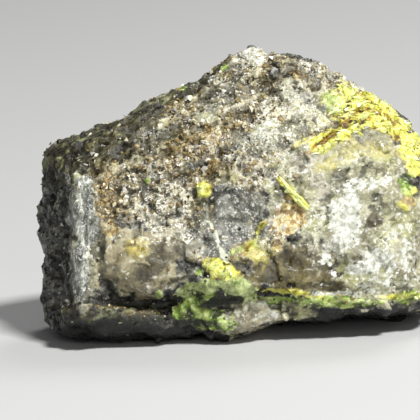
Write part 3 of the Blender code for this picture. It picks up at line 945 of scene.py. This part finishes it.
def set_camera():
    """The photo's viewpoint, level in the picture frame and so pitched and rolled over the resting stone."""
    middle = Vector((VIEW_MIDDLE[0], 0.0, VIEW_MIDDLE[1]))
    eye = middle + Vector((0.0, -VIEW_DISTANCE, 0.0))
    camera = bpy.data.objects.new("camera", bpy.data.cameras.new("camera"))
    camera.data.sensor_width = SENSOR
    camera.data.lens = SENSOR / (PICTURE * MM_PER_PIXEL) * VIEW_DISTANCE
    camera.data.clip_start = NEAREST_SEEN
    upright = Matrix(((1, 0, 0), (0, 0, -1), (0, 1, 0)))
    place = (TURN @ eye - REST_SHIFT) * METRES_PER_MM
    camera.matrix_world = Matrix.Translation(place) @ (TURN @ upright).to_4x4()
    bpy.context.scene.collection.objects.link(camera)
    bpy.context.scene.camera = camera


def set_world():
    world = bpy.data.worlds.new("studio")
    world.use_nodes = True
    sky = world.node_tree.nodes["Background"]
    sky.inputs["Color"].default_value = (0.75, 0.77, 0.80, 1.0)
    sky.inputs["Strength"].default_value = 0.14
    bpy.context.scene.world = world


def way(rise):
    """The row-frame direction of a line that rises to the right in the picture by so many degrees."""
    spin = math.radians(rise)
    return np.array(TURN) @ np.array((math.cos(spin), 0.0, math.sin(spin)))


skin, PLACES, NORMALS, WEIGHTS, TINT = make_skin()
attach(skin, "root")
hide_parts("stone")

# Where each kind of small solid may lie
seen_x, seen_y = seen_at(to_picture(PLACES))
depthward = (NORMALS @ np.array(TURN))[:, 1]
facing_eye = depthward < 0.1
upward = smooth_step(-0.5, 0.0, NORMALS[:, 2])
glass = np.maximum(WEIGHTS["smoky"], WEIGHTS["beige"])
quartz_free = 1 - 0.85 * np.maximum(WEIGHTS["pale_quartz"], glass)
crust_free = (1 - np.maximum(WEIGHTS["yellow"], WEIGHTS["green"])) * (1 - 0.72 * WEIGHTS["slate"])
open_rock = crust_free * quartz_free
from_middle = (seen_x - GLASSY_MIDDLE[0]) ** 2 + (seen_y - GLASSY_MIDDLE[1]) ** 2
glassy_ground = np.exp(-from_middle / (2 * GLASSY_REACH ** 2))

blade_run = (BLADE_END - BLADE_START) / np.linalg.norm(BLADE_END - BLADE_START)
from_start = np.stack([seen_x, seen_y], 1) - BLADE_START
past = from_start @ blade_run
beside = np.abs(from_start @ np.array((-blade_run[1], blade_run[0])))
on_blade = (past > 0) & (past < BLADE_LENGTH) & (beside < BLADE_HALF_WIDTH) & facing_eye
blade_way = np.array(TURN) @ np.array((blade_run[0], 0.0, -blade_run[1]))
on_right_branch = smooth_step(352, 376, seen_x)
wide_crust = (
    WEIGHTS["yellow"] ** 3 * ~on_blade * (1 - 0.9 * WEIGHTS["crease"]) * (1 - 0.5 * WEIGHTS["green"])
    * smooth_step(-20, 0, 175 - seen_y) * smooth_step(290, 320, seen_x)
)

mixed = mineral(
    "mixed_grain",
    (0.0, (0.012, 0.009, 0.006)), (0.18, (0.065, 0.048, 0.022)), (0.32, (0.19, 0.14, 0.062)),
    (0.46, (0.33, 0.25, 0.115)), (0.58, (0.44, 0.39, 0.22)), (0.72, (0.62, 0.58, 0.42)),
    (0.90, (0.88, 0.86, 0.76)), roughness=(0.15, 0.45),
)
white = mineral(
    "white_quartz",
    (0.0, (0.32, 0.30, 0.20)), (0.5, (0.60, 0.58, 0.45)), (0.9, (0.86, 0.85, 0.77)), IOR=1.544,
)
glassy = mineral(
    "glassy_quartz",
    (0.0, (0.13, 0.115, 0.095)), (0.3, (0.33, 0.310, 0.290)), (0.6, (0.60, 0.59, 0.55)),
    (0.9, (0.86, 0.84, 0.77)), roughness=(0.03, 0.10), IOR=1.544, Transmission_Weight=0.35,
)
clear = mineral(
    "clear_quartz",
    (0.0, (0.20, 0.195, 0.14)), (0.35, (0.44, 0.43, 0.33)), (0.65, (0.68, 0.68, 0.58)),
    (1.0, (0.90, 0.90, 0.86)), roughness=(0.06, 0.20), IOR=1.544,
)
rusty = mineral(
    "rusty_grain",
    (0.0, (0.028, 0.016, 0.006)), (0.3, (0.12, 0.070, 0.021)), (0.5, (0.32, 0.21, 0.060)),
    (0.7, (0.54, 0.44, 0.21)), (1.0, (0.82, 0.78, 0.60)), roughness=(0.3, 0.6),
)
black = mineral(
    "dark_flake",
    (0.0, (0.004, 0.004, 0.004)), (0.6, (0.035, 0.034, 0.028)), (1.0, (0.20, 0.20, 0.16)),
    roughness=(0.12, 0.3), IOR=1.65,
)
lemon = mineral(
    "pottsite_crystal",
    (0.0, (0.11, 0.07, 0.008)), (0.24, (0.34, 0.27, 0.022)), (0.42, (0.50, 0.50, 0.055)),
    (0.65, (0.60, 0.66, 0.15)), (1.0, (0.76, 0.83, 0.40)), roughness=(0.25, 0.45), IOR=1.9,
)
olive = mineral(
    "olive_flake",
    (0.0, (0.005, 0.004, 0.003)), (0.40, (0.024, 0.021, 0.010)), (0.64, (0.09, 0.082, 0.035)),
    (0.82, (0.28, 0.27, 0.12)), (1.0, (0.62, 0.62, 0.40)), roughness=(0.15, 0.35), IOR=1.6,
)
leaf = mineral(
    "green_granule",
    (0.0, (0.008, 0.014, 0.003)), (0.3, (0.060, 0.10, 0.018)), (0.6, (0.26, 0.38, 0.10)),
    (0.9, (0.62, 0.74, 0.36)), roughness=(0.4, 0.6),
)

lumps = lump_shapes(5, 6, 9)
blades = crystal_shapes(4, 0.7, 0.6)
eye_side = np.flatnonzero(depthward < -0.15)
big_spots = np.array([
    eye_side[np.argmin(np.hypot(seen_x[eye_side] - x, seen_y[eye_side] - y))] for x, y in BIG_GRAINS
])
set_solids(
    "big_glassy_grains", np.random.default_rng(31), big_spots,
    lump_shapes(32, 6, 9), (1.2, 2.1), glassy, -0.62, stretch=(1.25, 0.9, 0.75),
)
scatter(
    "mixed_grains", 12, WEIGHTS["granular"] * (1 - 0.8 * WEIGHTS["olive_dark"]) * open_rock, 3800,
    lumps, (0.14, 0.80), mixed, -0.35,
)
scatter(
    "sugary_quartz", 11, WEIGHTS["sugar"] ** 3 * crust_free * (1 - 0.85 * glass), 3200,
    lumps, (0.09, 0.25), white, -0.1,
)
quartz_share = WEIGHTS["pale_quartz"] * (1 - WEIGHTS["smoky"]) * (1 - 0.7 * WEIGHTS["corner"])
scatter("quartz_chips", 22, quartz_share * crust_free * upward, 1300, lumps, (0.12, 0.75), clear, -0.55)
scatter(
    "glassy_grains", 17, (0.4 * WEIGHTS["granular"] + 2.0 * glassy_ground) * open_rock * facing_eye, 240,
    lump_shapes(9, 6, 8), (0.35, 1.1), glassy, -0.50, stretch=(1.2, 0.9, 0.75),
)
scatter("rusty_grains", 13, WEIGHTS["rust"] ** 2 * open_rock, 1300, lumps, (0.14, 0.44), rusty, -0.15)
scatter(
    "dark_grains", 14, (0.2 * WEIGHTS["granular"] + 0.10) * (1 - WEIGHTS["olive_dark"]) * open_rock, 900,
    lumps, (0.18, 0.60), black, -0.2, stretch=(1.0, 0.6, 0.35),
)
scatter(
    "olive_flakes", 19, WEIGHTS["olive_dark"] * open_rock, 1500,
    lumps, (0.20, 0.80), olive, -0.15, stretch=(0.6, 0.3, 1.2), along=way(FLAKE_RISE),
)
scatter(
    "pottsite_laths", 20, wide_crust * (1 - on_right_branch), 420,
    blades, (0.6, 2.0), lemon, -0.42, stretch=(0.26, 0.14, 1.0), along=way(LEFT_BRANCH_RISE), wander=0.06,
)
scatter(
    "pottsite_needles", 21, wide_crust * on_right_branch, 280,
    blades, (0.5, 1.5), lemon, -0.42, stretch=(0.28, 0.15, 1.0), along=way(RIGHT_BRANCH_RISE), wander=0.06,
)
scatter(
    "pottsite_crystals", 15, WEIGHTS["yellow"] ** 3 * ~on_blade, 700,
    blades, (0.12, 0.45), lemon, -0.1, stretch=(0.8, 0.5, 1.1),
)
scatter(
    "pottsite_blade", 18, on_blade.astype(float), 120,
    blades, (0.34, 0.60), lemon, 0.25, stretch=(0.5, 0.35, 2.4), along=blade_way, wander=0.05,
)
plain_rock = (1 - WEIGHTS["granular"]) * (1 - WEIGHTS["olive_dark"]) * (1 - WEIGHTS["pale_quartz"])
scatter("pale_specks", 24, plain_rock * open_rock * upward ** 2, 420, lumps, (0.10, 0.50), clear, -0.4)
scatter(
    "green_granules", 16, WEIGHTS["green"] ** 3 * (1 - 0.6 * WEIGHTS["yellow"]) * (1 - WEIGHTS["dark"]), 240,
    lump_shapes(8, 3, 14), (0.12, 0.46), leaf, -0.5,
)

make_floor()
set_camera()
set_world()
for name, values in LAMPS.items():
    add_lamp(name, *values)
bpy.context.scene.view_settings.view_transform = "Standard"
